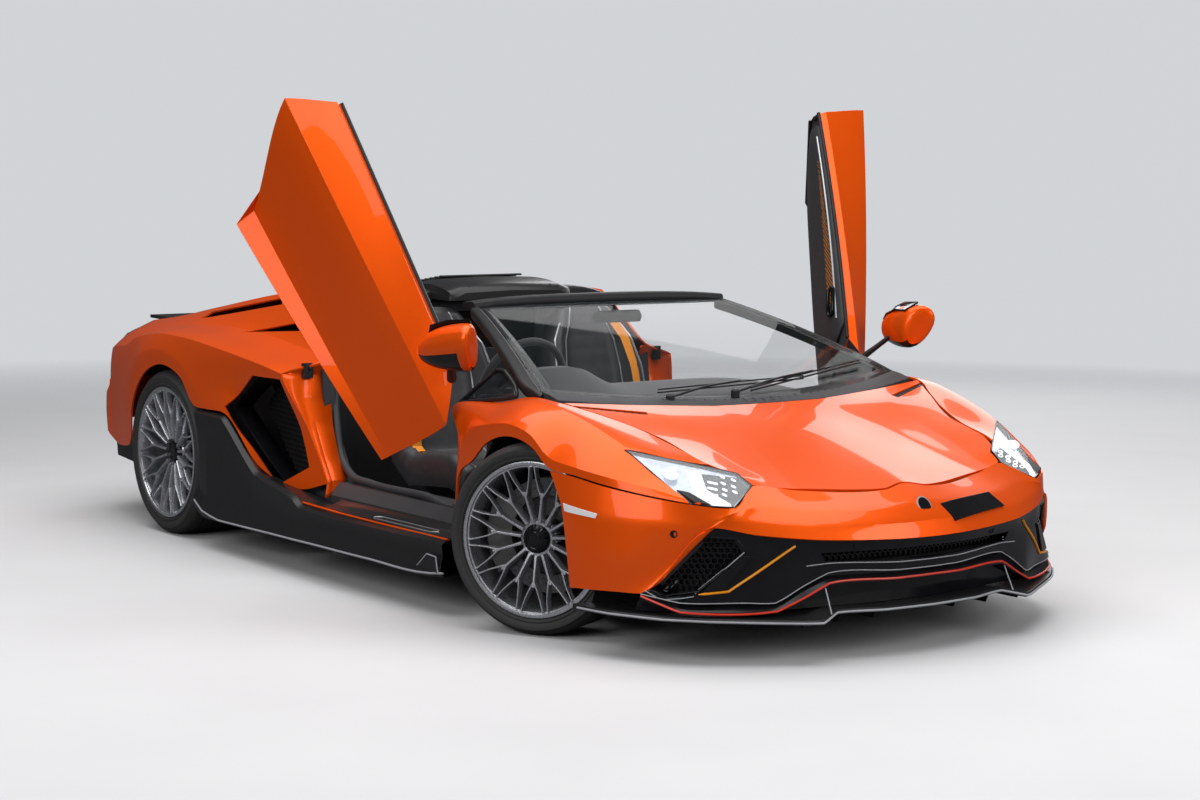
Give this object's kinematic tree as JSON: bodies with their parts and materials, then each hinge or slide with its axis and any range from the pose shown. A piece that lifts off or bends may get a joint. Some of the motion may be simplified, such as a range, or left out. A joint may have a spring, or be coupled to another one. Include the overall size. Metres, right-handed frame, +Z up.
{
  "type": "open-top two-seat supercar",
  "caption": "Low wedge-shaped open two-seat supercar with upward-swinging doors standing open, steering front wheels, lifting lids and a tilting rear wing.",
  "frame": {"origin": "on the ground below the middle of the overall box", "axes": "+X towards the nose, +Y to the car left, +Z up"},
  "size_m": [4.868, 2.838, 1.8299],
  "materials": {
    "paint": "metallic orange under clear lacquer",
    "gloss_black": "gloss black",
    "satin_black": "satin black",
    "trim": "dark grained trim",
    "leather": "dark suede and leather",
    "glass": "lightly tinted glass",
    "lamp": "dark lamp bowl",
    "red_lamp": "dark red lens",
    "rim_metal": "satin titanium grey",
    "tyre": "black rubber",
    "exhaust_metal": "brushed steel",
    "cast_metal": "cast and machined metal"
  },
  "bodies": {
    "root": {"dashboard": "trim", "diffuser": "gloss_black", "engine": "cast_metal", "exhaust": "exhaust_metal", "front_bumper": "paint", "front_fenders": "paint", "front_intakes": "gloss_black", "front_suspension": "cast_metal", "headlamp_lenses": "glass", "headlamps": "lamp", "luggage_tub": "satin_black", "rear_bumper": "paint", "rear_grille": "gloss_black", "rear_quarters": "paint", "rear_suspension": "cast_metal", "roll_hoop": "gloss_black", "seats": "leather", "side_grilles": "satin_black", "side_skirts": "gloss_black", "splitter": "gloss_black", "steering_wheel": "leather", "subframes": "satin_black", "tail_lamps": "red_lamp", "tub": "satin_black", "underfloor": "satin_black", "wheel_liners": "satin_black", "windows": "glass", "windscreen_frame": "gloss_black"},
    "knuckle_left": {"knuckle_left": "cast_metal"},
    "knuckle_right": {"knuckle_right": "cast_metal"},
    "wheel_front_left": {"rim_front_left": "rim_metal", "tyre_front_left": "tyre"},
    "wheel_front_right": {"rim_front_right": "rim_metal", "tyre_front_right": "tyre"},
    "wheel_rear_left": {"rim_rear_left": "rim_metal", "tyre_rear_left": "tyre"},
    "wheel_rear_right": {"rim_rear_right": "rim_metal", "tyre_rear_right": "tyre"},
    "door_left": {"door_left": "paint", "door_trim_left": "trim", "mirror_left": "paint"},
    "door_right": {"door_right": "paint", "door_trim_right": "trim", "mirror_right": "paint"},
    "front_lid": {"front_lid": "paint"},
    "engine_cover": {"engine_cover": "paint"},
    "rear_wing": {"rear_wing": "gloss_black"}
  },
  "joints": [
    {"name": "steer_left", "type": "hinge", "parent": "root", "child": "knuckle_left", "pos_m": [1.384, 0.79, 0.331], "axis": [0, 0, 1], "range_deg": [-59.6, 4.4]},
    {"name": "steer_right", "type": "hinge", "parent": "root", "child": "knuckle_right", "pos_m": [1.384, -0.79, 0.331], "axis": [0, 0, 1], "range_deg": [-59.6, 4.4]},
    {"name": "roll_front_left", "type": "hinge", "parent": "knuckle_left", "child": "wheel_front_left", "pos_m": [1.35157, 0.85203, 0.331], "axis": [-0.4633, 0.8862, 0], "continuous": true},
    {"name": "roll_front_right", "type": "hinge", "parent": "knuckle_right", "child": "wheel_front_right", "pos_m": [1.41643, -0.85203, 0.331], "axis": [-0.4633, 0.8862, 0], "continuous": true},
    {"name": "roll_rear_left", "type": "hinge", "parent": "root", "child": "wheel_rear_left", "pos_m": [-1.316, 0.838, 0.355], "axis": [0, 1, 0], "continuous": true},
    {"name": "roll_rear_right", "type": "hinge", "parent": "root", "child": "wheel_rear_right", "pos_m": [-1.316, -0.838, 0.355], "axis": [0, 1, 0], "continuous": true},
    {"name": "door_left_swing", "type": "hinge", "parent": "root", "child": "door_left", "pos_m": [1.001, 0.9, 0.717], "axis": [0.0781, 0.9148, -0.3963], "range_deg": [-64.2, 0]},
    {"name": "door_right_swing", "type": "hinge", "parent": "root", "child": "door_right", "pos_m": [1.001, -0.9, 0.717], "axis": [-0.0781, 0.9148, 0.3963], "range_deg": [-64.2, 0]},
    {"name": "front_lid_lift", "type": "hinge", "parent": "root", "child": "front_lid", "pos_m": [1.438, 0, 0.774], "axis": [0, -1, 0], "range_deg": [0, 55]},
    {"name": "engine_cover_lift", "type": "hinge", "parent": "root", "child": "engine_cover", "pos_m": [-0.604, 0, 1.064], "axis": [0, 1, 0], "range_deg": [0, 50]},
    {"name": "rear_wing_tilt", "type": "hinge", "parent": "root", "child": "rear_wing", "pos_m": [-2.106, 0, 0.87], "axis": [0, 1, 0], "range_deg": [0, 16]}
  ],
  "couplings": [
    {"joint": "steer_right", "follows": "steer_left", "ratio": 1}
  ]
}
